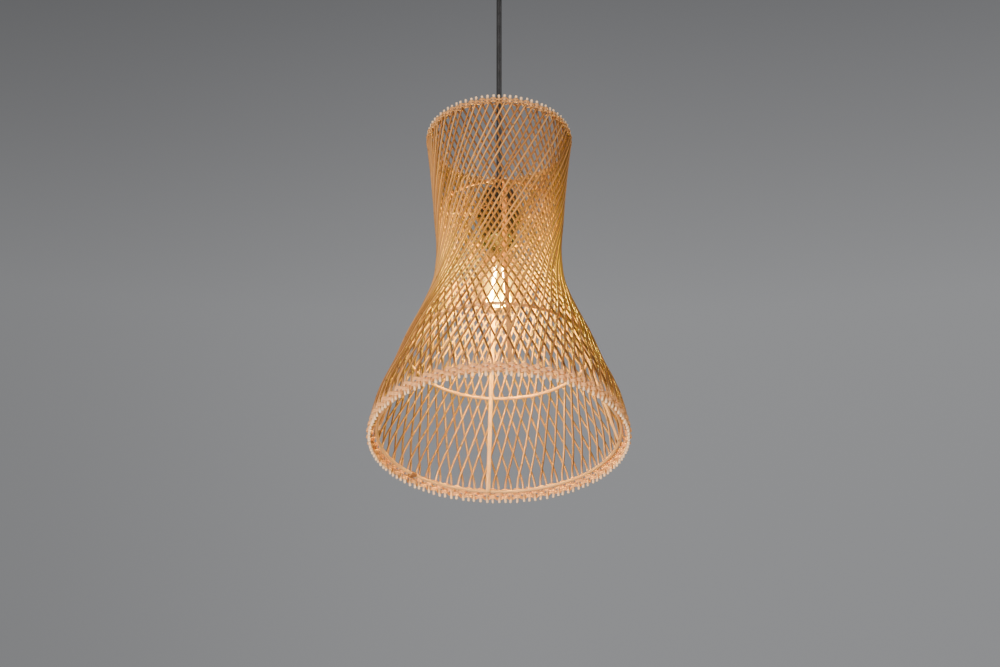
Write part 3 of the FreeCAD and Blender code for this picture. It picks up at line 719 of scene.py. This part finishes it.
def lightAt(name, kind, place, aim, energy, size, colour):
    light = bpy.data.lights.new(name, kind)
    light.energy = energy
    light.color = colour
    if kind == "AREA":
        light.shape = "DISK"
        light.size = size
    else:
        light.shadow_soft_size = size
    lamp = bpy.data.objects.new(name, light)
    lamp.location = place
    away = np.array(aim) - np.array(place)
    tilt = math.atan2(math.hypot(away[0], away[1]), -away[2])
    lamp.rotation_euler = (tilt, 0.0, math.atan2(away[1], away[0]) - math.pi / 2)
    bpy.context.collection.objects.link(lamp)
    return lamp


shadeMiddle = (0.0, 0.0, rimPlane + 0.2)
neckMiddle = (0.0, 0.0, -0.2)
rimNear = (0.0, -0.1, rimPlane + 0.05)
warmWhite = (1.0, 0.92, 0.82)
studio = {
    "panels": [  # name, place, aim, watts, width, colour
        ("key", (-1.3, -2.4, -2.3), shadeMiddle, 150.0, 1.6, warmWhite),
        ("fill", (2.2, -1.6, -0.4), shadeMiddle, 34.0, 1.8, warmWhite),
        ("card", (-0.25, -0.95, rimPlane - 0.55), rimNear, 5.0, 0.5, warmWhite),
        ("glossLeft", (-1.0, -1.9, 1.1), neckMiddle, 5.0, 0.4, (1.0, 1.0, 1.0)),
        ("glossRight", (1.6, -1.4, 1.1), neckMiddle, 3.0, 0.4, (1.0, 1.0, 1.0)),
    ],
    "bulbWatts": 6.6, "bulbSize": 0.02, "bulbColour": (1.0, 0.77, 0.10),
    "sky": [(0.0, (0.28, 0.283, 0.292)), (0.42, (0.285, 0.288, 0.297)), (0.53, (0.292, 0.295, 0.304)),
            (0.58, (0.215, 0.217, 0.224)), (0.63, (0.148, 0.150, 0.156)), (1.0, (0.148, 0.150, 0.156))],
    "leftShade": 0.76, "leftEdges": (-0.22, 0.02),
}
layFloor()
for name, place, aim, watts, width, colour in studio["panels"]:
    lightAt(name, "AREA", place, aim, watts, width, colour)
bulbLight = lightAt("bulbGlow", "POINT", tuple(bulbMiddle), (0.0, 0.0, -1.0), studio["bulbWatts"],
                    studio["bulbSize"], studio["bulbColour"])
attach(bulbLight, "bulb")


def greyWorld():  # a grey room, lightest ahead and darker towards the ceiling and the left
    world = bpy.data.worlds.new("studioGrey")
    bpy.context.scene.world = world
    world.use_nodes = True
    world.node_tree.nodes.clear()
    start = Wire(world.node_tree)
    direction = start.add("TexCoord", {}, {}, 0)
    side = start.add("SeparateXYZ", {}, {"Vector": direction}, 0)
    rise = start.add("SeparateXYZ", {}, {"Vector": direction}, 2)
    grey = start.add("ValToRGB", {"stops": studio["sky"]}, {"Fac": rise})
    room = side.within(*studio["leftEdges"]) * (1 - studio["leftShade"]) + studio["leftShade"]
    back = start.add("Background", {}, {"Color": grey, "Strength": room})
    start.add("OutputWorld", {}, {"Surface": back})


greyWorld()
print("lights and room made")

view = {"lens": 100.8, "sensor": 36.0, "place": (1.13 * mm, -2.7522, rimPlane - 1.5587), "tilt": 31.63}
camera = bpy.data.cameras.new("camera")
camera.lens = view["lens"]
camera.sensor_width = view["sensor"]
viewer = bpy.data.objects.new("camera", camera)
viewer.location = view["place"]
viewer.rotation_euler = (math.radians(90 + view["tilt"]), 0.0, 0.0)
bpy.context.collection.objects.link(viewer)
bpy.context.scene.camera = viewer
